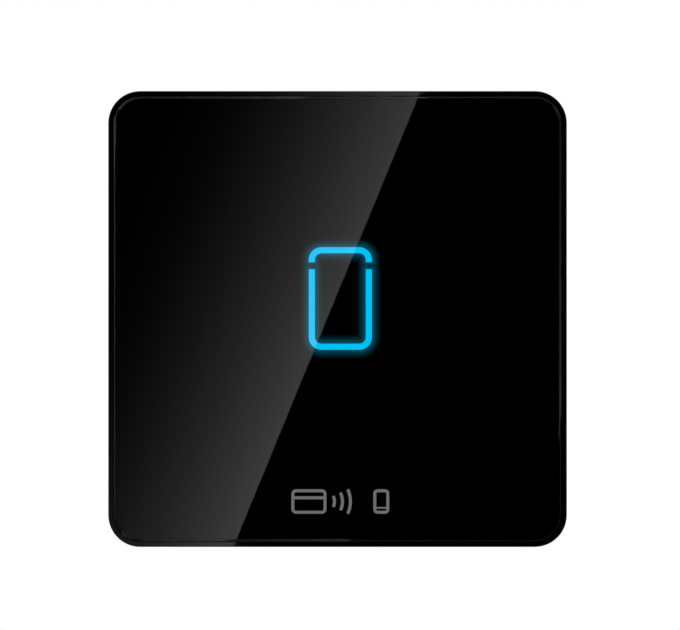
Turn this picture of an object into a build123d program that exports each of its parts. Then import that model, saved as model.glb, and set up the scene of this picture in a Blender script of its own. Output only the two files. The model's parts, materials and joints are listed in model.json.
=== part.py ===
from build123d import *
import math
import os

# Wall-mounted RFID card reader with a flush black glass face and a lit card icon.
# Row frame in millimetres: the wall is the plane Y = 0, the reader stands out from it towards -Y, +Z is up.
# The origin is the middle of the wall screw pattern, on the back face of the wall plate.
# "Depth" always means the distance out from the wall, so a point at depth d has Y = -d.

# ---------------------------------------------------------------- driving dimensions
width = 86.0                    # outside of the bezel, side to side
height = 85.5                   # outside of the bezel, bottom to top
depth = 14.0                    # wall to glass
corner_radius = 6.0

rim_width = 0.92                # bezel rim seen round the glass
seam = 0.1                      # gap between the rim and the glass
glass_thickness = 2.0
glass_edge_width = 0.3          # shallow polished bevel round the glass face
glass_edge_depth = 0.14
film_thickness = 0.1
film_gap = 0.02                 # clear adhesive between the glass and the printed film
tape_thickness = 0.3
ledge_width = 3.4               # from the outside of the bezel to the inner edge of the glass ledge
ledge_thickness = 1.2
bezel_wall = 2.2
bezel_edge = 0.2                # rounding of the bezel's front edge

parting = 9.4                   # depth of the joint between bezel and rear housing
rear_inset = 0.4                # shadow line: the rear housing is this much smaller all round
rear_wall = 2.1
rear_edge = 0.9                 # chamfer round the rear housing's back edge
skirt_back = 0.4                # gap between the skirt and the wall
floor_back = 3.4
floor_front = 5.0
inner_inset = rear_inset + rear_wall

board_back = 7.4
board_thickness = 1.2
board_front = board_back + board_thickness
board_gap = 0.8                 # board edge to housing wall
board_chamfer = 14.0

glass_back = depth - glass_thickness
film_front = glass_back - film_gap
film_back = film_front - film_thickness
ledge = film_back - tape_thickness
ledge_back = ledge - ledge_thickness

# Card icon: a rounded outline cut in two near its top
icon_x, icon_z = 0.52, 3.86
icon_width, icon_height = 11.86, 19.28
icon_radius = 2.4
icon_stroke = 1.14
icon_gap_top = 2.82             # top of the icon to the cut
icon_gap = 1.34

# Printed symbol under the icon
symbol_z = -34.3
symbol_width, symbol_height = 18.4, 4.6
symbol_stroke = 0.56

# Fasteners
housing_screw_x, housing_screw_z = 35.0, 34.75
housing_screw_radius = 1.1
housing_screw_head = 2.1
board_screw_xz = 26.0
board_screw_radius = 0.8
thread_clearance = 0.02         # threads are drawn as plain shanks in plain holes

# Wall plate
plate_thickness = 3.0
plate_gap = 0.5                 # plate to skirt, at the sides and bottom
plate_top_gap = 1.25            # more room at the top, where the skirt swings over the plate
plate_web = 1.8                 # thickness left where the back of the plate is hollow
plate_edge = 0.4
box_screw_spacing = 60.0        # wall box screws
slot_length, slot_radius = 8.0, 2.2
wall_hole_spacing = 56.0        # four holes for screws straight into a wall
head_recess_radius, head_recess = 3.9, 1.2
cable_window_width, cable_window_height, cable_window_z = 46.0, 26.0, -6.0

# Top hooks, which the reader hangs on and tilts about
hook_x, hook_width = 22.0, 10.0
hook_thickness = 1.2
hook_depth = 2.4                # depth of the tilt axis
hook_axis_z = 40.4
hook_side_gap, hook_top_gap = 0.4, 0.15
hook_pocket_back = 1.3

# Locking screw, up through the bottom of the housing into the wall plate
lock_depth = 3.7                # depth of the screw's axis
lock_radius, lock_head_radius = 1.25, 1.9
lock_head_height = 1.4
lock_head_bottom = -42.2        # backed out, the head is still inside the housing
lock_tip = -36.3
lock_bore_end = -37.25          # where the head's washer stops when it is driven in
lock_tube_end = -36.2
washer_thickness = 0.5
washer_clearance = 0.1
insert_radius, insert_bore = 1.8, 1.3
lock_block_low, lock_block_high = -35.9, -31.5

# Cable connector
connector_z = -12.0
connector_width, connector_height = 24.0, 6.4
connector_wall, connector_base = 0.9, 1.0
connector_mouth = 1.4           # depth of the connector's open end
pin_count, pin_pitch, pin_size = 8, 2.5, 0.64

# Tamper plunger
tamper_x, tamper_z = -14.0, -29.0
plunger_radius, plunger_collar_radius = 1.6, 2.35
plunger_end = 6.3               # depth of its inner end while the wall holds it in
plunger_collar = 0.9
plunger_bore_radius, plunger_bore_start = 1.1, 2.4
plunger_clearance = 0.08
switch_face = 6.5


# ---------------------------------------------------------------- helpers
def slab(outline, back, front):
    """The outline, drawn in X and Z, filled between two depths."""
    return extrude(Plane.XZ.offset(back) * outline, front - back)


def outline(inset):
    """The reader's outline, taken in by inset."""
    radius = max(corner_radius - inset, 0.5)
    return RectangleRounded(width - 2 * inset, height - 2 * inset, radius)


def disc(x, z, radius, back, front):
    return slab(Pos(x, z) * Circle(radius), back, front)


def block(x, z, size_x, size_z, back, front):
    return slab(Pos(x, z) * Rectangle(size_x, size_z), back, front)


def upright(radius, low, high, x=0.0, at_depth=lock_depth):
    """A round bar along Z."""
    return Pos(x, -at_depth, (low + high) / 2) * Cylinder(radius, high - low)


def four(x, z):
    """The four mirrored places of one corner feature."""
    return [(side * x, level * z) for side in (-1, 1) for level in (-1, 1)]


def joined(pieces):
    """Fuses the pieces into one solid."""
    whole = pieces[0]
    for piece in pieces[1:]:
        whole = whole + piece
    return whole


def group(pieces):
    """Separate solids that share one node."""
    return Compound(children=[solid for piece in pieces for solid in piece.solids()])


def ring(outer_width, outer_height, radius, stroke):
    """A rounded outline of constant width."""
    hollow = RectangleRounded(outer_width - 2 * stroke, outer_height - 2 * stroke, radius - stroke)
    return RectangleRounded(outer_width, outer_height, radius) - hollow


def octagon(half_x, half_z, chamfer):
    """A rectangle with its corners cut off at 45 degrees."""
    return Rectangle(2 * half_x, 2 * half_z) - [
        Pos(x, z) * Rot(0, 0, 45) * Rectangle(chamfer * math.sqrt(2), chamfer * math.sqrt(2))
        for x, z in four(half_x, half_z)
    ]


def strip(points, strip_width):
    """A face of constant width along a run of points, with mitred corners."""
    path = [Vector(*point) for point in points]
    runs = [(b - a).normalized() for a, b in zip(path, path[1:])]
    left, right = [], []
    for i, point in enumerate(path):
        before = runs[max(i - 1, 0)]
        after = runs[min(i, len(runs) - 1)]
        along = (before + after).normalized()
        across = Vector(-along.Y, along.X) * (strip_width / 2 / along.dot(after))
        left.append(point + across)
        right.append(point - across)
    return make_face(Polyline(*left, *reversed(right), close=True))


# ---------------------------------------------------------------- card icon and symbol
def icon_stroke_shape(part_of_icon, spread=0.0):
    """One of the icon's two strokes, drawn about the icon's middle and widened by spread on each side."""
    stroke = icon_stroke + 2 * spread
    whole = ring(icon_width + 2 * spread, icon_height + 2 * spread, icon_radius + spread, stroke)
    top = icon_height / 2 + spread
    cut_high = icon_height / 2 - icon_gap_top - spread
    cut_low = icon_height / 2 - icon_gap_top - icon_gap + spread
    low, high = (cut_high, top) if part_of_icon == "upper" else (-top, cut_low)
    window = Pos(0, (low + high) / 2) * Rectangle(icon_width + 4 * stroke, high - low)
    return Pos(icon_x, icon_z) * (whole & window)


def arc_stroke(radius, half_angle, stroke):
    """A short arc, open to the left."""
    sector = Polygon(
        (0, 0),
        (2 * radius, -2 * radius * math.tan(math.radians(half_angle))),
        (2 * radius, 2 * radius * math.tan(math.radians(half_angle))),
        align=None,
    )
    return (Circle(radius + stroke / 2) - Circle(radius - stroke / 2)) & sector


def symbol_shapes():
    """A plain card, three waves and a phone: a reminder of what to hold against the glass."""
    stroke = symbol_stroke
    card_width, phone_width = 6.6, 3.0
    card_x = icon_x - symbol_width / 2 + card_width / 2
    phone_x = icon_x + symbol_width / 2 - phone_width / 2
    card = ring(card_width, symbol_height, 0.9, stroke)
    card += Pos(0, 0.7) * Rectangle(card_width - stroke, stroke)
    phone = ring(phone_width, symbol_height, 0.8, stroke)
    phone += Pos(0, -symbol_height / 2 + stroke + 0.55) * Rectangle(phone_width - stroke, 0.3)
    waves_x = card_x + card_width / 2 - 0.9
    waves = [Pos(waves_x, symbol_z) * arc_stroke(reach, 25, stroke) for reach in (2.4, 3.9, 5.4)]
    return [Pos(card_x, symbol_z) * card, *waves, Pos(phone_x, symbol_z) * phone]


# ---------------------------------------------------------------- front of the reader
def glass_panel():
    glass = slab(outline(rim_width + seam), glass_back, depth)
    face = glass.faces().sort_by(Axis.Y)[0]
    return chamfer(face.edges(), glass_edge_width, glass_edge_depth, reference=face)


def print_film():
    film = slab(outline(rim_width + seam), film_back, film_front)
    for part_of_icon in ("upper", "lower"):
        film -= slab(icon_stroke_shape(part_of_icon), film_back, film_front)
    for shape in symbol_shapes():
        film -= slab(shape, film_back, film_front)
    return film


def printed_symbol():
    return group([slab(shape, film_back, film_front) for shape in symbol_shapes()])


def glass_tape():
    inner = outline(ledge_width - 0.2)
    return slab(outline(rim_width + seam + 0.1) - inner, ledge, film_back)


def front_bezel():
    frame = slab(outline(0), parting, depth)
    frame = fillet(frame.faces().sort_by(Axis.Y)[0].edges(), bezel_edge)
    frame -= slab(outline(rim_width), ledge, depth)
    frame -= slab(outline(ledge_width), ledge_back, ledge)
    frame -= slab(outline(bezel_wall), parting, ledge_back)
    boss_radius, web = 2.8, 8.6
    for x, z in four(housing_screw_x, housing_screw_z):
        corner = Pos(math.copysign(width / 2 - 1.5 - web / 2, x), math.copysign(height / 2 - 1.5 - web / 2, z))
        corner_web = corner * Rectangle(web, web) & outline(bezel_wall - 0.2)
        frame += slab(corner_web, ledge_back, ledge)
        frame += disc(x, z, boss_radius, floor_front + ledge_thickness, ledge_back)
        frame -= disc(x, z, housing_screw_radius + thread_clearance, floor_front, ledge_back)
    return frame


# ---------------------------------------------------------------- light guides
guide_front = film_front
guide_step = 10.9               # below this depth the guides widen to catch the light
guide_back = 9.5
guide_flange = 0.5
led_height = 0.65
led_size = 1.6


def light_guide(part_of_icon):
    """A clear guide whose narrow front end fills its window in the print film."""
    guide = slab(icon_stroke_shape(part_of_icon), guide_step, guide_front)
    return guide + slab(icon_stroke_shape(part_of_icon, guide_flange), guide_back, guide_step)


def light_baffle():
    """Black block that holds the guides and keeps their light apart."""
    body = RectangleRounded(icon_width + 6.4, icon_height + 6.4, 3.0)
    baffle = slab(Pos(icon_x, icon_z) * body, board_front, film_back - 0.05)
    for part_of_icon in ("upper", "lower"):
        baffle -= slab(icon_stroke_shape(part_of_icon, 0.06), guide_step, film_back)
        baffle -= slab(icon_stroke_shape(part_of_icon, guide_flange + 0.05), board_front, guide_step)
    return baffle


def led_places():
    """LED centres along the icon's strokes."""
    reach_x = (icon_width - icon_stroke) / 2
    top = (icon_height - icon_stroke) / 2
    upper = [(x, top) for x in (-3.2, 0.0, 3.2)]
    sides = [(side * reach_x, z) for side in (-1, 1) for z in (2.6, -2.4)]
    lower = [(x, -top) for x in (-2.6, 2.6)]
    return [(icon_x + x, icon_z + z) for x, z in upper + sides + lower]


def status_leds():
    front = board_front + led_height
    return group([block(x, z, led_size, led_size, board_front, front) for x, z in led_places()])


# ---------------------------------------------------------------- board and its parts
board_half_x = width / 2 - inner_inset - board_gap
board_half_z = height / 2 - inner_inset - board_gap
pin_places = [((i - (pin_count - 1) / 2) * pin_pitch, connector_z) for i in range(pin_count)]


def main_board():
    board = slab(octagon(board_half_x, board_half_z, board_chamfer), board_back, board_front)
    for x, z in four(board_screw_xz, board_screw_xz):
        board -= disc(x, z, 1.1, board_back, board_front)
    for x, z in pin_places:
        board -= disc(x, z, 0.5, board_back, board_front)
    return board


def antenna_coil():
    """Four flat turns round the edge of the board, with a pad at each end."""
    turns, pitch, track, height_over_board = 4, 1.2, 0.7, 0.1
    half_x, half_z, cut, lead = board_half_x - 2.3, board_half_z - 2.3, 11.5, 2.0
    points = []
    for turn in range(turns):
        x, z = half_x - pitch * turn, half_z - pitch * turn
        c = cut - pitch * turn * (2 - math.sqrt(2))
        points += [(lead, -z), (x - c, -z), (x, c - z), (x, z - c), (x - c, z)]
        points += [(c - x, z), (-x, z - c), (-x, c - z), (c - x, -z), (-lead, -z)]
    coil = slab(strip(points, track), board_front, board_front + height_over_board)
    for x, z in (points[0], points[-1]):
        coil += disc(x, z, 0.55, board_front, board_front + height_over_board)
    return coil


def ferrite_sheet():
    outer = octagon(board_half_x - 1.1, board_half_z - 1.1, 12.6)
    inner = octagon(board_half_x - 7.2, board_half_z - 7.2, 8.8)
    return slab(outer - inner, board_back - 0.3, board_back)


def chip(x, z, size_x, size_z, thickness, mark=0.4):
    """A chip's body on the board's rear side, with a round pin-one mark."""
    face = board_back - thickness
    body = block(x, z, size_x, size_z, face, board_back)
    return body - disc(x - size_x / 2 + 2 * mark, z + size_z / 2 - 2 * mark, mark, face, face + 0.08)


def gull_leads(x, z, body_width, pitch, per_side, lead_width, rise):
    """Bent leads on the left and right of a chip."""
    foot, stem = 0.6, 0.2
    leads = []
    for side in (-1, 1):
        for i in range(per_side):
            level = z + (i - (per_side - 1) / 2) * pitch
            shoulder_x = x + side * (body_width / 2 + 0.2)
            knee_x = x + side * (body_width / 2 + 0.5)
            foot_x = knee_x + side * (foot / 2)
            leads.append(joined([
                block(shoulder_x, level, 0.4, lead_width, board_back - rise, board_back - rise + stem),
                block(knee_x, level, stem, lead_width, board_back - rise, board_back),
                block(foot_x, level, foot, lead_width, board_back - stem, board_back),
            ]))
    return leads


transceiver = dict(x=-22.0, z=-10.0, size_x=3.9, size_z=4.9, thickness=1.5)
regulator = dict(x=21.0, z=-9.0, size_x=1.7, size_z=3.0, thickness=1.1)


def chip_leads():
    return group(
        gull_leads(transceiver["x"], transceiver["z"], transceiver["size_x"], 1.27, 4, 0.42, 0.9)
        + gull_leads(regulator["x"], regulator["z"], regulator["size_x"], 0.95, 3, 0.4, 0.7)
    )


def clock_crystals():
    return group([block(x, z, 3.2, 2.5, board_back - 0.7, board_back) for x, z in ((-20.0, 10.5), (15.5, 4.0))])


def buzzer_case():
    """Square sounder with a round sound hole in its face."""
    x, z, size, thickness = 18.5, -22.5, 9.0, 1.9
    case = slab(Pos(x, z) * RectangleRounded(size, size, 0.8), board_back - thickness, board_back)
    case -= disc(x, z, 3.9, board_back - thickness + 0.4, board_back - 0.2)
    return case - disc(x + 2.4, z + 2.4, 0.75, board_back - thickness, board_back - thickness + 0.4)


def buzzer_disc():
    x, z = 18.5, -22.5
    return disc(x, z, 3.8, board_back - 0.45, board_back - 0.2)


def power_inductor():
    x, z, size, thickness = 21.5, -1.5, 5.0, 2.0
    body = slab(Pos(x, z) * RectangleRounded(size, size, 1.1), board_back - thickness, board_back)
    return body - disc(x, z, 1.9, board_back - thickness, board_back - thickness + 0.25)


def two_ended(places, size_x, size_z, thickness):
    """A row of small board parts of one size."""
    return [block(x, z, size_x, size_z, board_back - thickness, board_back) for x, z in places]


def filter_capacitors():
    return group(two_ended([(-21.0, 1.5), (-21.0, -18.5)], 7.3, 4.3, 1.9))


def ceramic_capacitors():
    by_controller = [(-14.0 + 2.0 * i, 3.0) for i in range(4)]
    by_reader_chip = [(5.0 + 2.0 * i, 15.5) for i in range(5)]
    by_regulator = [(25.0, -6.5), (25.0, -9.0), (25.0, -11.5)]
    return group(two_ended(by_controller + by_reader_chip + by_regulator, 1.0, 1.6, 0.8))


def chip_resistors():
    by_transceiver = [(-15.5, -15.5 + 1.8 * i) for i in range(4)]
    by_lights = [(-4.0 + 2.2 * i, 25.0) for i in range(6)]
    return group(two_ended(by_transceiver + by_lights, 1.6, 0.8, 0.45))


def matching_coils():
    return group(two_ended([(19.0, 11.5), (19.0, 8.0)], 2.5, 2.0, 1.4))


def surge_diodes():
    return group(two_ended([(-8.0, -21.5), (-1.5, -21.5), (5.0, -21.5)], 4.3, 2.6, 2.1))


def connector_shroud():
    shroud = block(0, connector_z, connector_width, connector_height, connector_mouth, board_back)
    cavity_x = connector_width - 2 * connector_wall
    cavity_z = connector_height - 2 * connector_wall
    shroud -= block(0, connector_z, cavity_x, cavity_z, connector_mouth, board_back - connector_base)
    for x in (-6.0, 6.0):   # keyways that let the plug in one way round
        key_z = connector_z + (connector_height - connector_wall) / 2
        shroud -= block(x, key_z, 1.8, connector_wall, connector_mouth, connector_mouth + 3.2)
    for x, z in pin_places:
        shroud -= block(x, z, pin_size, pin_size, board_back - connector_base, board_back)
    return shroud


def connector_pins():
    tip, tail, point = connector_mouth + 1.3, board_front + 1.0, 0.2
    pins = []
    for x, z in pin_places:
        pin = block(x, z, pin_size, pin_size, tip, tail)
        pins.append(chamfer(pin.faces().sort_by(Axis.Y)[-1].edges(), point))
    return group(pins)


def connector_seal():
    outer = RectangleRounded(connector_width + 5.0, connector_height + 5.0, 1.5)
    inner = RectangleRounded(connector_width + 0.6, connector_height + 0.6, 0.4)
    return slab(Pos(0, connector_z) * (outer - inner), floor_front, board_back)


def board_screws():
    """Pan-head screws through the board into the rear housing's posts."""
    head_radius, head_height, tip = 1.75, 1.2, floor_front + 0.7
    screws = []
    for x, z in four(board_screw_xz, board_screw_xz):
        head = disc(x, z, head_radius, board_front, board_front + head_height)
        head = fillet(head.faces().sort_by(Axis.Y)[0].edges(), 0.4)
        shank = disc(x, z, board_screw_radius, tip, board_front)
        cross = Rectangle(1.8, 0.45) + Rectangle(0.45, 1.8)
        screws.append(head + shank - slab(Pos(x, z) * cross, board_front + 0.5, board_front + head_height))
    return group(screws)


# ---------------------------------------------------------------- tamper switch
def tamper_switch():
    body = block(tamper_x, tamper_z, 4.6, 4.6, switch_face + 0.2, board_back)
    return body + disc(tamper_x, tamper_z, 1.0, switch_face, switch_face + 0.2)


def tamper_plunger():
    plunger = disc(tamper_x, tamper_z, plunger_radius, 0, plunger_end)
    plunger = fillet(plunger.faces().sort_by(Axis.Y)[-1].edges(), 0.5)
    plunger += disc(tamper_x, tamper_z, plunger_collar_radius, plunger_end - plunger_collar, plunger_end)
    return plunger - disc(tamper_x, tamper_z, plunger_bore_radius, plunger_bore_start, plunger_end)


def tamper_spring():
    """Coil spring from the plunger's bore to the switch."""
    wire, coil_radius, turns, end_gap = 0.13, 0.8, 5, 0.03
    start = plunger_bore_start + wire + end_gap
    length = switch_face - wire - end_gap - start
    path = Helix(length / turns, length, coil_radius)
    section = Plane(origin=path @ 0, z_dir=path % 0) * Circle(wire)
    coil = sweep(section, path=path)
    return Pos(tamper_x, -start, tamper_z) * Rot(90, 0, 0) * coil


# ---------------------------------------------------------------- rear housing
def housing_gasket():
    return slab(outline(rear_inset + 0.6) - outline(rear_inset + 1.4), parting - 0.8, parting)


def rear_housing():
    shell = slab(outline(rear_inset), skirt_back, parting)
    shell = chamfer(shell.faces().sort_by(Axis.Y)[-1].edges(), rear_edge)
    shell -= slab(outline(inner_inset), floor_front, parting)
    shell -= slab(outline(inner_inset), skirt_back, floor_back)
    shell -= slab(outline(rear_inset + 0.6) - outline(rear_inset + 1.4), parting - 0.8, parting)
    for x, z in four(housing_screw_x, housing_screw_z):
        shell += disc(x, z, 3.1, floor_back, floor_front + 1.2)
        shell -= disc(x, z, housing_screw_head + 0.2, floor_back, floor_front + 0.2)
        shell -= disc(x, z, housing_screw_radius + 0.1, floor_front, floor_front + 1.2)
    for x, z in four(board_screw_xz, board_screw_xz):
        shell += disc(x, z, 2.2, floor_front, board_back)
        shell -= disc(x, z, board_screw_radius + thread_clearance, floor_front + 0.4, board_back)
    shell -= block(0, connector_z, connector_width + 1.2, connector_height + 1.2, floor_back, floor_front)
    shell -= disc(tamper_x, tamper_z, plunger_radius + plunger_clearance, floor_back, floor_front)
    shell -= disc(tamper_x, tamper_z, plunger_collar_radius + 0.1, floor_front - 0.85, floor_front)
    for side in (-1, 1):    # pockets that hang on the wall plate's hooks
        pocket_high = hook_axis_z + hook_thickness / 2 + hook_top_gap
        pocket_low = height / 2 - inner_inset
        middle = (pocket_low + pocket_high) / 2
        pocket_width = hook_width + 2 * hook_side_gap
        shell -= block(side * hook_x, middle, pocket_width, pocket_high - pocket_low, hook_pocket_back, floor_back)
    return shell + lock_housing() - lock_cavities()


def lock_housing():
    """The block at the bottom edge that guides the locking screw and covers the wall plate's screw block."""
    low, high = rear_inset + rear_edge - height / 2, lock_block_high + 1.3
    tube = block(0, (low + lock_tube_end) / 2, 7.4, lock_tube_end - low, skirt_back, 7.0)
    cover = block(0, (lock_tube_end + high) / 2, 9.0, high - lock_tube_end, floor_back, 7.0)
    return tube + cover


def lock_cavities():
    bore = upright(lock_head_radius + 0.2, -height / 2, lock_bore_end)
    hole = upright(lock_radius + 0.1, lock_bore_end, lock_tube_end)
    high = lock_block_high + 0.4
    pocket = block(0, (lock_tube_end + high) / 2, 6.6, high - lock_tube_end, skirt_back, 6.3)
    return bore + hole + pocket


def housing_screws():
    """Self-tapping screws from the back of the housing into the bezel's corner posts."""
    head_back, head_height, tip = floor_back + 0.2, 1.6, 9.8
    screws = []
    for x, z in four(housing_screw_x, housing_screw_z):
        head = disc(x, z, housing_screw_head, head_back, head_back + head_height)
        head = fillet(head.faces().sort_by(Axis.Y)[-1].edges(), 0.5)
        shank = disc(x, z, housing_screw_radius, head_back + head_height, tip)
        cross = Rectangle(2.4, 0.55) + Rectangle(0.55, 2.4)
        screws.append(head + shank - slab(Pos(x, z) * cross, head_back, head_back + 0.9))
    return group(screws)


def rating_label():
    return slab(Pos(0, 22) * RectangleRounded(40, 16, 1.5), floor_back - 0.1, floor_back)


# ---------------------------------------------------------------- locking screw
def locking_screw():
    head_top = lock_head_bottom + lock_head_height
    head = upright(lock_head_radius, lock_head_bottom, head_top)
    head = fillet(head.faces().sort_by(Axis.Z)[0].edges(), 0.4)
    socket = extrude(Plane.XY.offset(lock_head_bottom) * Pos(0, -lock_depth) * RegularPolygon(1.1, 6), 0.9)
    shank = upright(lock_radius, head_top, lock_tip)
    shank = chamfer(shank.faces().sort_by(Axis.Z)[-1].edges(), 0.3)
    return head + shank - socket


def lock_washer():
    low = lock_head_bottom + lock_head_height + 0.02
    ring_outer = upright(lock_head_radius, low, low + washer_thickness)
    return ring_outer - upright(lock_radius + washer_clearance, low, low + washer_thickness)


def lock_insert():
    """Threaded brass insert in the wall plate."""
    insert = upright(insert_radius, lock_block_low, lock_block_high)
    return insert - upright(insert_bore, lock_block_low, lock_block_high)


# ---------------------------------------------------------------- wall plate
def plate_outline(inset=0.0):
    low = inner_inset + plate_gap - height / 2 + inset
    high = height / 2 - inner_inset - plate_top_gap - inset
    plate_width = width - 2 * (inner_inset + plate_gap) - 2 * inset
    return Pos(0, (low + high) / 2) * RectangleRounded(plate_width, high - low, 4.0 - inset / 2)


def slot(x, z, radius, length):
    return Pos(x, z) * SlotOverall(length, 2 * radius)


def plate_screw_places():
    half = wall_hole_spacing / 2
    return four(half, half)


def plate_hollow():
    """What is taken out of the back of the plate, between its rim, ribs and screw pads."""
    rim, rib, pad = 2.4, 1.6, 1.8
    hollow = plate_outline(rim)
    for side in (-1, 1):
        hollow -= Pos(side * 14.0, 0) * Rectangle(rib, height)
        hollow -= Pos(0, side * 20.5) * Rectangle(width, rib)
        hollow -= slot(side * box_screw_spacing / 2, 0, slot_radius + pad, slot_length + 2 * pad)
        hollow -= Pos(side * hook_x, 38) * Rectangle(hook_width + 2, 8)
    for x, z in plate_screw_places():
        hollow -= Pos(x, z) * Circle(slot_radius + pad)
    window_rim = 1.6
    hollow -= Pos(0, cable_window_z) * RectangleRounded(
        cable_window_width + 2 * window_rim, cable_window_height + 2 * window_rim, 3.0 + window_rim
    )
    hollow -= Pos(tamper_x, tamper_z) * Circle(4.2)
    return hollow - Pos(0, -36.0) * Rectangle(13.0, 12.0)


def hook(side):
    """A tongue with a rounded end, which the reader hangs on."""
    root = hook_axis_z - 3.0
    back, front = hook_depth - hook_thickness / 2, hook_depth + hook_thickness / 2
    neck = block(side * hook_x, (root + hook_axis_z) / 2, hook_width, hook_axis_z - root, back, front)
    tip = Pos(side * hook_x, -hook_depth, hook_axis_z) * Rot(0, 90, 0) * Cylinder(hook_thickness / 2, hook_width)
    return neck + tip


def wall_plate():
    plate = slab(plate_outline(), 0, plate_thickness)
    plate = chamfer(plate.faces().sort_by(Axis.Y)[0].edges(), plate_edge)
    plate -= slab(plate_hollow(), 0, plate_thickness - plate_web)
    window = RectangleRounded(cable_window_width, cable_window_height, 3.0)
    plate -= slab(Pos(0, cable_window_z) * window, 0, plate_thickness)
    for side in (-1, 1):
        x = side * box_screw_spacing / 2
        plate -= slab(slot(x, 0, slot_radius, slot_length), 0, plate_thickness)
        recess = 2 * (head_recess_radius - slot_radius)
        plate -= slab(slot(x, 0, head_recess_radius, slot_length + recess), plate_thickness - head_recess,
                      plate_thickness)
        plate += hook(side)
    for x, z in plate_screw_places():
        plate -= disc(x, z, slot_radius, 0, plate_thickness)
        plate -= disc(x, z, head_recess_radius, plate_thickness - head_recess, plate_thickness)
    plate -= disc(tamper_x, tamper_z, plunger_collar_radius + 0.3, 0, plate_thickness)
    notch_low = -height / 2         # room for the screw guide
    plate -= block(0, (notch_low + lock_block_low) / 2, 9.0, lock_block_low - notch_low, 0, plate_thickness)
    middle = (lock_block_low + lock_block_high) / 2
    plate += block(0, middle, 5.8, lock_block_high - lock_block_low, 0, lock_depth + 2.4)
    return plate - upright(insert_radius, lock_block_low, lock_block_high)


# ---------------------------------------------------------------- write every node
nodes = {
    "wall_plate": wall_plate(),
    "lock_insert": lock_insert(),
    "rear_housing": rear_housing(),
    "housing_screws": housing_screws(),
    "housing_gasket": housing_gasket(),
    "rating_label": rating_label(),
    "front_bezel": front_bezel(),
    "glass_panel": glass_panel(),
    "print_film": print_film(),
    "printed_symbol": printed_symbol(),
    "glass_tape": glass_tape(),
    "upper_light_guide": light_guide("upper"),
    "lower_light_guide": light_guide("lower"),
    "light_baffle": light_baffle(),
    "status_leds": status_leds(),
    "main_board": main_board(),
    "board_screws": board_screws(),
    "antenna_coil": antenna_coil(),
    "ferrite_sheet": ferrite_sheet(),
    "microcontroller": chip(-10.0, 9.0, 7.0, 7.0, 0.85),
    "card_reader_chip": chip(9.0, 9.5, 5.0, 5.0, 0.85),
    "bus_transceiver": chip(**transceiver),
    "voltage_regulator": chip(**regulator, mark=0.2),
    "chip_leads": chip_leads(),
    "clock_crystals": clock_crystals(),
    "bluetooth_antenna": block(-22.0, 22.0, 5.2, 2.0, board_back - 1.1, board_back),
    "buzzer_case": buzzer_case(),
    "buzzer_disc": buzzer_disc(),
    "power_inductor": power_inductor(),
    "filter_capacitors": filter_capacitors(),
    "ceramic_capacitors": ceramic_capacitors(),
    "chip_resistors": chip_resistors(),
    "matching_coils": matching_coils(),
    "surge_diodes": surge_diodes(),
    "resettable_fuse": block(11.5, -21.5, 3.2, 4.5, board_back - 0.6, board_back),
    "connector_shroud": connector_shroud(),
    "connector_pins": connector_pins(),
    "connector_seal": connector_seal(),
    "tamper_switch": tamper_switch(),
    "tamper_spring": tamper_spring(),
    "tamper_plunger": tamper_plunger(),
    "lock_washer": lock_washer(),
    "locking_screw": locking_screw(),
}

os.makedirs("parts", exist_ok=True)
for name, shape in nodes.items():
    export_step(shape, f"parts/{name}.step")
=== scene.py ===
import json
import math

import bpy
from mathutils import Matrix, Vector


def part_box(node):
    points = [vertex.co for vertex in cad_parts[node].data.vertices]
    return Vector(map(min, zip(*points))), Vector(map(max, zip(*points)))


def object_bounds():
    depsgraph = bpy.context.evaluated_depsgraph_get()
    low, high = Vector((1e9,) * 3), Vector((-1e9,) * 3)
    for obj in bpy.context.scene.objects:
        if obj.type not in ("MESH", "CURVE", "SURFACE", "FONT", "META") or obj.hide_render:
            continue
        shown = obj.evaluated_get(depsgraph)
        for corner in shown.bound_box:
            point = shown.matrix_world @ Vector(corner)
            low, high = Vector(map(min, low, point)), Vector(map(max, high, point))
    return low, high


# Looks of a wall-mounted card reader: black glass face, lit card icon, dark moulded housing.
# Everything is in metres in the row frame: the glass faces -Y, +Z is up, the wall is the plane Y = 0.

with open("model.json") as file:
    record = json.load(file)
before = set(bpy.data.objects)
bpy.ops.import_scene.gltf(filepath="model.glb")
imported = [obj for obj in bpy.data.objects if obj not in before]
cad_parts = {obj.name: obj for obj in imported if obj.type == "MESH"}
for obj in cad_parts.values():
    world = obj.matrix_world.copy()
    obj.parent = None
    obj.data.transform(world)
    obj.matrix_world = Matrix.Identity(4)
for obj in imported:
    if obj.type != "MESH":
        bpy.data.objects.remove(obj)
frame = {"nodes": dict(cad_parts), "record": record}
cad_low, cad_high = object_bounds()
face_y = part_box("glass_panel")[0].y     # the front of the glass

# ---------------------------------------------------------------- sizes
PICTURE_WIDTH = 0.12748         # what the picture spans at the glass
LENS, SENSOR = 150.0, 36.0
CAMERA_DISTANCE = PICTURE_WIDTH * LENS / SENSOR
CAMERA_PLACE = (0.00046, face_y - CAMERA_DISTANCE, 0.00075)

ICON_STROKE, ICON_RADIUS = 0.00114, 0.0024
GUIDE_FLANGE = 0.0005           # the guides are wider than their windows by this much behind the print
GLOW_REACH = 0.00197            # how far the painted glow round the icon spreads over the print
GLOW_FALLOFF = 2.2              # the power with which it weakens on the way

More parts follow.
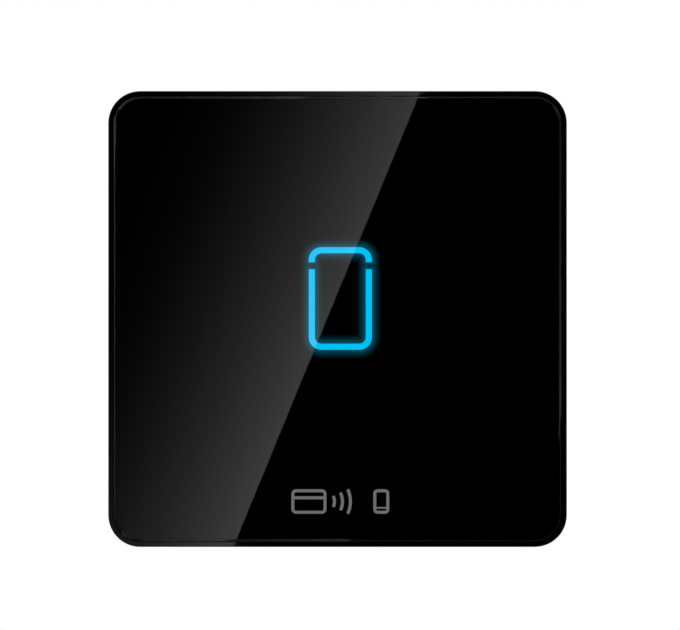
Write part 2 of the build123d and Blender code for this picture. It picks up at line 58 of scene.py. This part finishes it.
GLARE_MIDDLE, GLARE_SLOPE = -0.002, 0.411      # the reflection's edge on the glass: x at z = 0, and dx/dz
GLARE_FADE = 0.058              # from its bright edge to where it has faded out
GLARE_FALLOFF = 3.4             # the power with which it fades
GLARE_LEVELS = (0.54, 0.465)    # its card's brightness at the bottom and the top
GLARE_HALF_HEIGHT = 0.09        # of the whole reflection, which goes on above and below the glass
GLARE_GRADED = (0.25, 0.75)     # where on its height it turns from the one level to the other
CARD_REACH = 0.35               # the light cards stand this far in front of the glass
SIDE_EYE = (0.365, -0.372, 0.241)  # a viewer up on the right, who sees a card of their own
SIDE_CARD_LEVELS = (0.35, 0.35)

# The room that reflections see, by the parts of the direction towards it. The glass edge's bevel turns a
# straight view off by the angle whose sine is BEVEL_TURN, and catches a band of light there.
BEVEL_TURN = 0.77
BAND_LEVELS = (("Z", 1, 0.5), ("Z", -1, 0.14), ("X", -1, 0.52), ("X", 1, 0.09))
BAND_START, BAND_END = (-0.88, -0.7), (-0.5, -0.1)  # Y where it comes in and goes out
BAND_REMAINS = 0.15             # the share of it that is left past its end
LOW_LEFT, LOW_LEFT_SHARE = (-0.3, -0.08), 0.35      # Z where the left band brightens, and its share below
SHEET_START = (0.5, 0.7)        # |Z| where the glare's edge comes in again, above and below
BESIDE, BESIDE_LEVEL = (0.75, 1.0), 0.35            # |X| where the walls to the left and right come in
BEHIND, BEHIND_LEVEL = (0.3, 0.8), 0.5              # Y where the wall behind comes in

FLOOR_Z, FLOOR_RADIUS, FLOOR_SIDES = -0.2, 0.8, 96
FLOOR_GREY = 0.86
FLOOR_FADE = (0.35, 0.76)       # distances from its middle between which it turns white
SOFTBOXES = (                   # name, place, width in metres and power in watts
    ("overhead_light", (-0.25, 0.35, 0.75), 0.6, 11.0),
    ("back_light", (0.55, 0.7, 0.35), 0.4, 7.0),
)

ICON_COLOR = (0.0016, 0.588, 1.0, 1.0)
GLOW_COLOR = (0.001, 0.65, 1.0, 1.0)
GLOW_STRENGTH = 0.132
# the grey symbol's brightness, painted as emitted light rather than lit by the lamps
SYMBOL_PAINTED_LIGHT = (0.163, 0.163, 0.163, 1.0)

PATTERN_MIDDLE = (0.3, 0.7)     # a noise pattern runs from 0 to 1 but is mostly between these
CLOUD_SIZE = 0.006              # faint cloudiness of moulded plastic
CLOUD_SHARE = 0.3               # how much of its colour change is cloudiness, beside its grain
TRACK_SCALE, WEAVE_SCALE = 220.0, 400.0             # the board's patterns per metre


# ---------------------------------------------------------------- node trees
class Tree:
    """Short calls for building a node tree. A value is a number, a colour or another node's output."""

    def __init__(self, owner):
        owner.use_nodes = True
        self.nodes, self.links = owner.node_tree.nodes, owner.node_tree.links
        self.nodes.clear()

    def feed(self, socket, value):
        if isinstance(value, bpy.types.NodeSocket):
            self.links.new(value, socket)
        else:
            socket.default_value = value

    def add(self, kind, inputs=None, **settings):
        node = self.nodes.new("ShaderNode" + kind)
        for name, value in settings.items():
            setattr(node, name, value)
        for name, value in (inputs or {}).items():
            self.feed(node.inputs[name], value)
        return node

    def math(self, operation, *values):
        return self.add("Math", dict(enumerate(values)), operation=operation).outputs[0]

    def positive(self, value):
        return self.math("MAXIMUM", value, 0.0)

    def hypotenuse(self, a, b):
        squares = self.math("ADD", self.math("MULTIPLY", a, a), self.math("MULTIPLY", b, b))
        return self.math("SQRT", squares)

    def beyond(self, value, middle, reach):
        """How far a value lies past reach from middle, below 0 where it lies within."""
        away = self.math("ABSOLUTE", self.math("SUBTRACT", value, middle))
        return self.math("SUBTRACT", away, reach)

    def place(self):
        """The point in the row frame at rest, in metres."""
        return self.add("TexCoord").outputs["Object"]

    def scaled(self, stretch):
        """The point with each axis scaled, so that a pattern is drawn out along one of them."""
        return self.add("Mapping", {"Vector": self.place(), "Scale": stretch}).outputs["Vector"]

    def axes(self, vector):
        return self.add("SeparateXYZ", {"Vector": vector}).outputs

    def noise(self, size, detail=2.0, stretch=(1, 1, 1)):
        """A cloudy pattern from 0 to 1 whose blobs are about size metres across."""
        inputs = {"Vector": self.scaled(stretch), "Scale": 1 / size, "Detail": detail}
        return self.add("TexNoise", inputs).outputs["Fac"]

    def spread(self, value, low, high):
        """A 0 to 1 pattern's middle part, stretched from low to high."""
        start, end = PATTERN_MIDDLE
        inputs = {"Value": value, "From Min": start, "From Max": end, "To Min": low, "To Max": high}
        return self.add("MapRange", inputs).outputs["Result"]

    def ramp(self, value, start, end, low=0.0, high=1.0):
        """A smooth step from low at start to high at end."""
        inputs = {"Value": value, "From Min": start, "From Max": end, "To Min": low, "To Max": high}
        return self.add("MapRange", inputs, interpolation_type="SMOOTHSTEP").outputs["Result"]

    def mix(self, share, low_color, high_color):
        node = self.add("Mix", data_type="RGBA")
        factor, low, high = node.inputs[0], node.inputs[6], node.inputs[7]
        self.feed(factor, share)
        self.feed(low, low_color)
        self.feed(high, high_color)
        return node.outputs[2]

    def bump(self, height, depth):
        """The surface normal over a pattern that is depth metres deep."""
        return self.add("Bump", {"Height": height, "Distance": depth}).outputs["Normal"]

    def surface(self, shader):
        self.feed(self.add("OutputMaterial").inputs["Surface"], shader)


def principled(name, **sockets):
    """A material with one Principled shader, its tree and its shader."""
    material = bpy.data.materials.new(name)
    tree = Tree(material)
    shader = tree.add("BsdfPrincipled")
    tree.surface(shader.outputs["BSDF"])
    for socket, value in sockets.items():
        shader.inputs[socket.replace("_", " ").title().replace("Ior", "IOR")].default_value = value
    return material, tree, shader


def grey(value):
    return (value, value, value, 1.0)


def shade_of(color, factor):
    """A colour, darker or lighter by a factor, as red, green, blue and a full alpha."""
    return tuple(factor * part for part in color[:3]) + (1.0,)


# ---------------------------------------------------------------- materials
def moulded_plastic(name, color, grain=0.0003, grain_depth=0.000006, rough=(0.48, 0.56), contrast=0.06):
    """Spark-eroded mould texture: even grain of a size and depth in metres, slightly cloudy in colour."""
    material, tree, shader = principled(name, specular_ior_level=0.45)
    pits = tree.noise(grain, 3.0)
    cloudy = tree.spread(tree.noise(CLOUD_SIZE, 3.0), 0.0, CLOUD_SHARE)
    grainy = tree.spread(pits, 0.0, 1 - CLOUD_SHARE)
    shade = tree.math("ADD", cloudy, grainy)
    darker, lighter = shade_of(color, 1 - contrast), shade_of(color, 1 + contrast)
    tree.feed(shader.inputs["Base Color"], tree.mix(shade, darker, lighter))
    tree.feed(shader.inputs["Roughness"], tree.spread(pits, *rough))
    tree.feed(shader.inputs["Normal"], tree.bump(pits, grain_depth))
    return material


def polished_bezel():
    """Polished black: as bright a reflection as the glass beside it, and as black under it."""
    material, tree, shader = principled(
        "polished_bezel", base_color=grey(0.0012), coat_weight=1.0, coat_roughness=0.02, coat_ior=1.5
    )
    haze, ripple = tree.noise(0.004, 4.0), tree.noise(0.0012)
    tree.feed(shader.inputs["Roughness"], tree.spread(haze, 0.02, 0.06))
    tree.feed(shader.inputs["Normal"], tree.bump(ripple, 0.0000004))
    return material


def panel_glass():
    """Clear glass with the faintest wiping marks."""
    material, tree, shader = principled(
        "panel_glass", base_color=grey(1.0), transmission_weight=1.0, ior=1.52
    )
    wiped = tree.noise(0.003, 5.0, stretch=(1.0, 1.0, 0.25))
    tree.feed(shader.inputs["Roughness"], tree.spread(wiped, 0.0, 0.006))
    return material


def icon_distance(tree):
    """Distance over the print from the nearest edge of the icon's two strokes."""
    upper_low, upper_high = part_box("upper_light_guide")
    lower_low, lower_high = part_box("lower_light_guide")
    middle_x = (upper_low.x + upper_high.x) / 2
    top, bottom = upper_high.z - GUIDE_FLANGE, lower_low.z + GUIDE_FLANGE
    middle_z = (top + bottom) / 2
    half_x = (upper_high.x - upper_low.x) / 2 - GUIDE_FLANGE - ICON_STROKE / 2
    half_z = (top - bottom - ICON_STROKE) / 2
    radius = ICON_RADIUS - ICON_STROKE / 2
    upper_end, lower_end = upper_low.z + GUIDE_FLANGE, lower_high.z - GUIDE_FLANGE

    axes = tree.axes(tree.place())
    over_x = tree.beyond(axes["X"], middle_x, half_x - radius)
    over_z = tree.beyond(axes["Z"], middle_z, half_z - radius)
    outside = tree.hypotenuse(tree.positive(over_x), tree.positive(over_z))
    inside = tree.math("MINIMUM", tree.math("MAXIMUM", over_x, over_z), 0.0)
    across = tree.positive(tree.beyond(tree.math("ADD", outside, inside), radius, ICON_STROKE / 2))
    below_upper = tree.positive(tree.math("SUBTRACT", upper_end, axes["Z"]))
    above_lower = tree.positive(tree.math("SUBTRACT", axes["Z"], lower_end))
    return tree.math("MINIMUM", tree.hypotenuse(across, below_upper), tree.hypotenuse(across, above_lower))


def black_print():
    """Black ink with a painted glow round the icon's windows, standing in for the icon's light that comes
    through it there.
    """
    material, tree, shader = principled("black_print", roughness=0.6, specular_ior_level=0.0)
    ink = tree.noise(0.0004, 3.0)
    tree.feed(shader.inputs["Base Color"], tree.mix(ink, grey(0.0006), grey(0.001)))
    # Painted glow: emission on the ink itself, strongest at the icon's strokes and fading with distance
    # from them.
    share = tree.math("SUBTRACT", 1.0, tree.math("DIVIDE", icon_distance(tree), GLOW_REACH))
    glow = tree.math("POWER", tree.positive(share), GLOW_FALLOFF)
    tree.feed(shader.inputs["Emission Color"], tree.mix(glow, grey(0.0), GLOW_COLOR))
    shader.inputs["Emission Strength"].default_value = GLOW_STRENGTH
    return material


def grey_print():
    """Light grey ink, its brightness painted as even emitted light behind the glass."""
    material, tree, shader = principled(
        "grey_print", base_color=grey(0.02), roughness=0.7, specular_ior_level=0.0
    )
    ink = tree.spread(tree.noise(0.0003, 3.0), 0.0, 1.0)
    # Painted light: the symbol's grey is emission, a little uneven with the ink, not light falling on it.
    tree.feed(shader.inputs["Emission Color"], tree.mix(ink, shade_of(SYMBOL_PAINTED_LIGHT, 0.95), SYMBOL_PAINTED_LIGHT))
    shader.inputs["Emission Strength"].default_value = 1.0
    return material


def lit_guide():
    """Clear guide full of light, a touch uneven between its lamps."""
    material, tree, shader = principled(
        "lit_guide", base_color=(0.0, 0.002, 0.003, 1.0), roughness=0.3, specular_ior_level=0.0
    )
    unevenness = tree.spread(tree.noise(0.003), 0.0, 1.0)
    tree.feed(shader.inputs["Emission Color"], tree.mix(unevenness, shade_of(ICON_COLOR, 0.96), ICON_COLOR))
    shader.inputs["Emission Strength"].default_value = 1.0
    return material


def metal(name, color, rough=(0.2, 0.38), stretch=(1, 1, 1)):
    """Bare or plated metal with fine tool marks, drawn out along the axis whose stretch is small."""
    material, tree, shader = principled(name, metallic=1.0)
    tarnish = tree.spread(tree.noise(0.0015, 4.0), 0.0, 1.0)
    tree.feed(shader.inputs["Base Color"], tree.mix(tarnish, shade_of(color, 0.8), shade_of(color, 1.0)))
    marks = tree.noise(0.0002, 3.0, stretch)
    tree.feed(shader.inputs["Roughness"], tree.spread(marks, *rough))
    tree.feed(shader.inputs["Normal"], tree.bump(marks, 0.000004))
    return material


def rubber():
    """Matt black rubber with a slight bloom."""
    material, tree, shader = principled("rubber", specular_ior_level=0.3)
    bloom = tree.spread(tree.noise(0.002, 4.0), 0.0, 1.0)
    tree.feed(shader.inputs["Base Color"], tree.mix(bloom, grey(0.012), grey(0.026)))
    scuffs, grain = tree.noise(0.0008, 3.0), tree.noise(0.00015)
    tree.feed(shader.inputs["Roughness"], tree.spread(scuffs, 0.7, 0.9))
    tree.feed(shader.inputs["Normal"], tree.bump(grain, 0.00001))
    return material


def board_laminate():
    """Green solder mask over woven glass, with copper tracks showing through as lighter lines."""
    material, tree, shader = principled("board_laminate", coat_weight=0.4, coat_roughness=0.15)
    bricks = {"Vector": tree.scaled((1, 1, 1)), "Scale": TRACK_SCALE, "Mortar Size": 0.03}
    tracks = tree.add("TexBrick", bricks).outputs["Fac"]
    mask, over_copper = (0.008, 0.09, 0.035, 1.0), (0.03, 0.2, 0.07, 1.0)
    tree.feed(shader.inputs["Base Color"], tree.mix(tracks, mask, over_copper))
    thickness = tree.noise(0.002, 3.0)
    tree.feed(shader.inputs["Roughness"], tree.spread(thickness, 0.3, 0.5))
    threads = []
    for axis in ("X", "Z"):
        wave = tree.add("TexWave", {"Vector": tree.place(), "Scale": WEAVE_SCALE}, bands_direction=axis)
        threads.append(wave.outputs["Fac"])
    tree.feed(shader.inputs["Normal"], tree.bump(tree.math("MAXIMUM", *threads), 0.00001))
    return material


def plastic_materials():
    """Every moulded, printed or cast material that isn't metal, by the record's slot."""
    housing_grain = {"grain": 0.0006, "grain_depth": 0.0002, "contrast": 0.18}
    settings = {
        "housing_plastic": ((0.032, 0.032, 0.034), housing_grain),
        "plate_plastic": ((0.045, 0.045, 0.048), housing_grain),
        "bonding_tape": ((0.02, 0.02, 0.02), {"grain": 0.0001, "rough": (0.7, 0.9)}),
        "baffle_plastic": ((0.02, 0.02, 0.02), {}),
        "led_resin": ((0.8, 0.76, 0.5), {"grain_depth": 0.000003, "rough": (0.15, 0.3)}),
        "ferrite": ((0.05, 0.048, 0.048), {"grain": 0.0002}),
        "chip_resin": ((0.022, 0.022, 0.024), {"grain": 0.0001, "grain_depth": 0.000008}),
        "ceramic_white": ((0.7, 0.69, 0.64), {"grain": 0.0002, "grain_depth": 0.000004}),
        "buzzer_plastic": ((0.025, 0.025, 0.025), {}),
        "capacitor_tantalum": ((0.62, 0.36, 0.05), {}),
        "capacitor_ceramic": ((0.36, 0.26, 0.17), {"grain_depth": 0.000004}),
        "resistor_body": ((0.03, 0.05, 0.045), {"grain_depth": 0.000004}),
        "connector_plastic": ((0.68, 0.65, 0.55), {}),
        "switch_plastic": ((0.04, 0.04, 0.04), {}),
        "plunger_plastic": ((0.42, 0.42, 0.4), {}),
        "label_foil": ((0.5, 0.5, 0.48), {"grain_depth": 0.000003, "rough": (0.3, 0.45)}),
    }
    return {slot: moulded_plastic(slot, color, **look) for slot, (color, look) in settings.items()}


def metal_materials():
    """Every metal, by the record's slot. Turned metal has its tool marks along its length."""
    along_y, along_z = (1, 0.05, 1), (1, 1, 0.05)
    settings = {
        "copper": ((0.72, 0.4, 0.2), {}),
        "tinned_metal": ((0.66, 0.66, 0.65), {"rough": (0.3, 0.5)}),
        "buzzer_brass": ((0.72, 0.55, 0.27), {}),
        "pin_metal": ((0.8, 0.64, 0.28), {"stretch": along_y}),
        "screw_steel": ((0.58, 0.58, 0.57), {}),
        "lock_steel": ((0.6, 0.59, 0.57), {"stretch": along_z}),
        "insert_brass": ((0.74, 0.56, 0.28), {"stretch": along_z}),
        "spring_steel": ((0.6, 0.6, 0.6), {"rough": (0.15, 0.3)}),
    }
    return {slot: metal(slot, color, **look) for slot, (color, look) in settings.items()}


def paint_nodes():
    """Give each CAD node the look of its material slot."""
    looks = {
        "bezel_plastic": polished_bezel(),
        "panel_glass": panel_glass(),
        "black_print": black_print(),
        "grey_print": grey_print(),
        "light_guide": lit_guide(),
        "seal_rubber": rubber(),
        "board_laminate": board_laminate(),
        **plastic_materials(),
        **metal_materials(),
    }
    for part in frame["record"]["subparts"]:
        mesh = frame["nodes"][part["node"]].data
        mesh.materials.clear()
        mesh.materials.append(looks[part["material_slot"]])


# ---------------------------------------------------------------- camera, light and floor
def make_camera():
    """Square on to the glass, from far enough that nothing of the sides shows."""
    data = bpy.data.cameras.new("camera")
    data.lens, data.sensor_width = LENS, SENSOR
    camera = bpy.data.objects.new("camera", data)
    camera.location = CAMERA_PLACE
    camera.rotation_euler = (math.radians(90), 0, 0)
    bpy.context.scene.collection.objects.link(camera)
    bpy.context.scene.camera = camera


def staged_mesh(name, points, faces, material):
    mesh = bpy.data.meshes.new(name)
    mesh.from_pydata(points, [], faces)
    mesh.materials.append(material)
    piece = bpy.data.objects.new(name, mesh)
    bpy.context.scene.collection.objects.link(piece)
    return piece


def light_card(name, eye, fade, levels):
    """A graded light card in front of the glass. Only its reflection is seen, and only from about eye.

    In the reflection it is brightest along the glare's slanting edge and fades out over fade, to the left,
    or to the right if fade is below 0. levels are its brightness at the bottom and the top.
    """
    mirrored = Vector((eye[0], 2 * face_y - eye[1], eye[2]))

    def reflected(x, z):
        """The place on the card that the eye sees reflected at a place on the glass."""
        seen = Vector((x, face_y, z))
        return seen + (seen - mirrored) * CARD_REACH / (mirrored.y - face_y)

    low, high = -GLARE_HALF_HEIGHT, GLARE_HALF_HEIGHT
    corners = []
    for z, back in ((low, fade), (low, 0), (high, 0), (high, fade)):
        corners.append(reflected(GLARE_MIDDLE + GLARE_SLOPE * z - back, z))

    material = bpy.data.materials.new(name)
    tree = Tree(material)
    grade = tree.axes(tree.add("TexCoord").outputs["UV"])
    faded = tree.math("POWER", grade["X"], GLARE_FALLOFF)
    strength = tree.math("MULTIPLY", faded, tree.ramp(grade["Y"], *GLARE_GRADED, *levels))
    light = tree.add("Emission", {"Color": grey(1.0), "Strength": strength})
    clear = tree.add("BsdfTransparent")
    tree.surface(tree.add("AddShader", {0: light.outputs[0], 1: clear.outputs[0]}).outputs[0])

    card = staged_mesh(name, corners, [(0, 1, 2, 3)], material)
    grading = card.data.uv_layers.new(name="grade")
    for loop, place in zip(grading.data, ((0, 0), (1, 0), (1, 1), (0, 1))):
        loop.uv = place
    card.visible_camera = card.visible_diffuse = card.visible_shadow = False


def make_light_cards():
    light_card("glare_card", CAMERA_PLACE, GLARE_FADE, GLARE_LEVELS)
    light_card("side_card", SIDE_EYE, -GLARE_FADE, SIDE_CARD_LEVELS)


def make_floor():
    """A pale round floor, far below, that turns to the backdrop's white at its rim."""
    material = bpy.data.materials.new("pale_floor")
    tree = Tree(material)
    finish = {"Base Color": grey(FLOOR_GREY), "Roughness": 0.7, "Specular IOR Level": 0.2}
    pale = tree.add("BsdfPrincipled", finish)
    backdrop = tree.add("Emission", {"Color": grey(1.0), "Strength": 1.0})
    away = tree.add("VectorMath", {0: tree.scaled((1, 1, 0))}, operation="LENGTH").outputs["Value"]
    share = tree.ramp(away, *FLOOR_FADE)
    tree.surface(tree.add("MixShader", {0: share, 1: pale.outputs[0], 2: backdrop.outputs[0]}).outputs[0])
    rim = []
    for i in range(FLOOR_SIDES):
        turn = 2 * math.pi * i / FLOOR_SIDES
        rim.append((FLOOR_RADIUS * math.cos(turn), FLOOR_RADIUS * math.sin(turn), FLOOR_Z))
    floor = staged_mesh("floor", rim, [tuple(range(FLOOR_SIDES))], material)
    floor.visible_glossy = floor.visible_transmission = False


def soft_light(name, place, size, power):
    """A square softbox that faces the reader, and that no polished surface shows."""
    data = bpy.data.lights.new(name, "AREA")
    data.shape, data.size, data.energy = "SQUARE", size, power
    light = bpy.data.objects.new(name, data)
    light.location = place
    light.rotation_euler = (-Vector(place)).to_track_quat("-Z", "Y").to_euler()
    light.visible_camera = light.visible_glossy = False
    bpy.context.scene.collection.objects.link(light)


def slanting_sheet(tree, axes):
    """Where the glare's slanting edge goes on above and below, as the glass edge sees it."""
    slope = GLARE_SLOPE * cad_high.z / CAMERA_DISTANCE / BEVEL_TURN
    middle = (GLARE_MIDDLE - CAMERA_PLACE[0]) / CAMERA_DISTANCE
    edge = tree.math("ADD", tree.math("MULTIPLY", axes["Z"], slope), middle)
    past = tree.math("DIVIDE", tree.math("SUBTRACT", axes["X"], edge), GLARE_FADE / CAMERA_DISTANCE)
    faded = tree.math("POWER", tree.positive(tree.math("ADD", past, 1.0)), GLARE_FALLOFF)
    lit = tree.math("LESS_THAN", past, 0.0)
    steep = tree.ramp(tree.math("ABSOLUTE", axes["Z"]), *SHEET_START)
    return tree.math("MULTIPLY", tree.math("MULTIPLY", faded, lit), steep)


def light_band(tree, axes):
    """The soft band of light round the camera, strongest straight above, below, left and right of it."""
    band = slanting_sheet(tree, axes)
    for axis, sign, level in BAND_LEVELS:
        toward = tree.positive(tree.math("MULTIPLY", axes[axis], sign))
        glow = tree.math("MULTIPLY", tree.math("MULTIPLY", toward, toward), level)
        if (axis, sign) == ("X", -1):
            glow = tree.math("MULTIPLY", glow, tree.ramp(axes["Z"], *LOW_LEFT, LOW_LEFT_SHARE, 1.0))
        band = tree.math("ADD", band, glow)
    comes_in = tree.ramp(axes["Y"], *BAND_START)
    goes_out = tree.ramp(axes["Y"], *BAND_END, 1.0, BAND_REMAINS)
    return tree.math("MULTIPLY", band, tree.math("MULTIPLY", comes_in, goes_out))


def make_studio():
    """White backdrop. Reflections see a dark room instead, with a band of light and light walls."""
    world = bpy.data.worlds.new("studio")
    bpy.context.scene.world = world
    tree = Tree(world)
    axes = tree.axes(tree.add("TexCoord").outputs["Generated"])
    beside = tree.ramp(tree.math("ABSOLUTE", axes["X"]), *BESIDE, 0.0, BESIDE_LEVEL)
    behind = tree.ramp(axes["Y"], *BEHIND, 0.0, BEHIND_LEVEL)
    room = tree.math("ADD", light_band(tree, axes), tree.math("ADD", beside, behind))
    seen = tree.add("LightPath").outputs["Is Camera Ray"]
    background = tree.add("Background", {"Color": grey(1.0), "Strength": tree.math("MAXIMUM", room, seen)})
    tree.feed(tree.add("OutputWorld").inputs["Surface"], background.outputs[0])

    for softbox in SOFTBOXES:
        soft_light(*softbox)
    bpy.context.scene.view_settings.view_transform = "Standard"


paint_nodes()
make_camera()
make_light_cards()
make_floor()
make_studio()
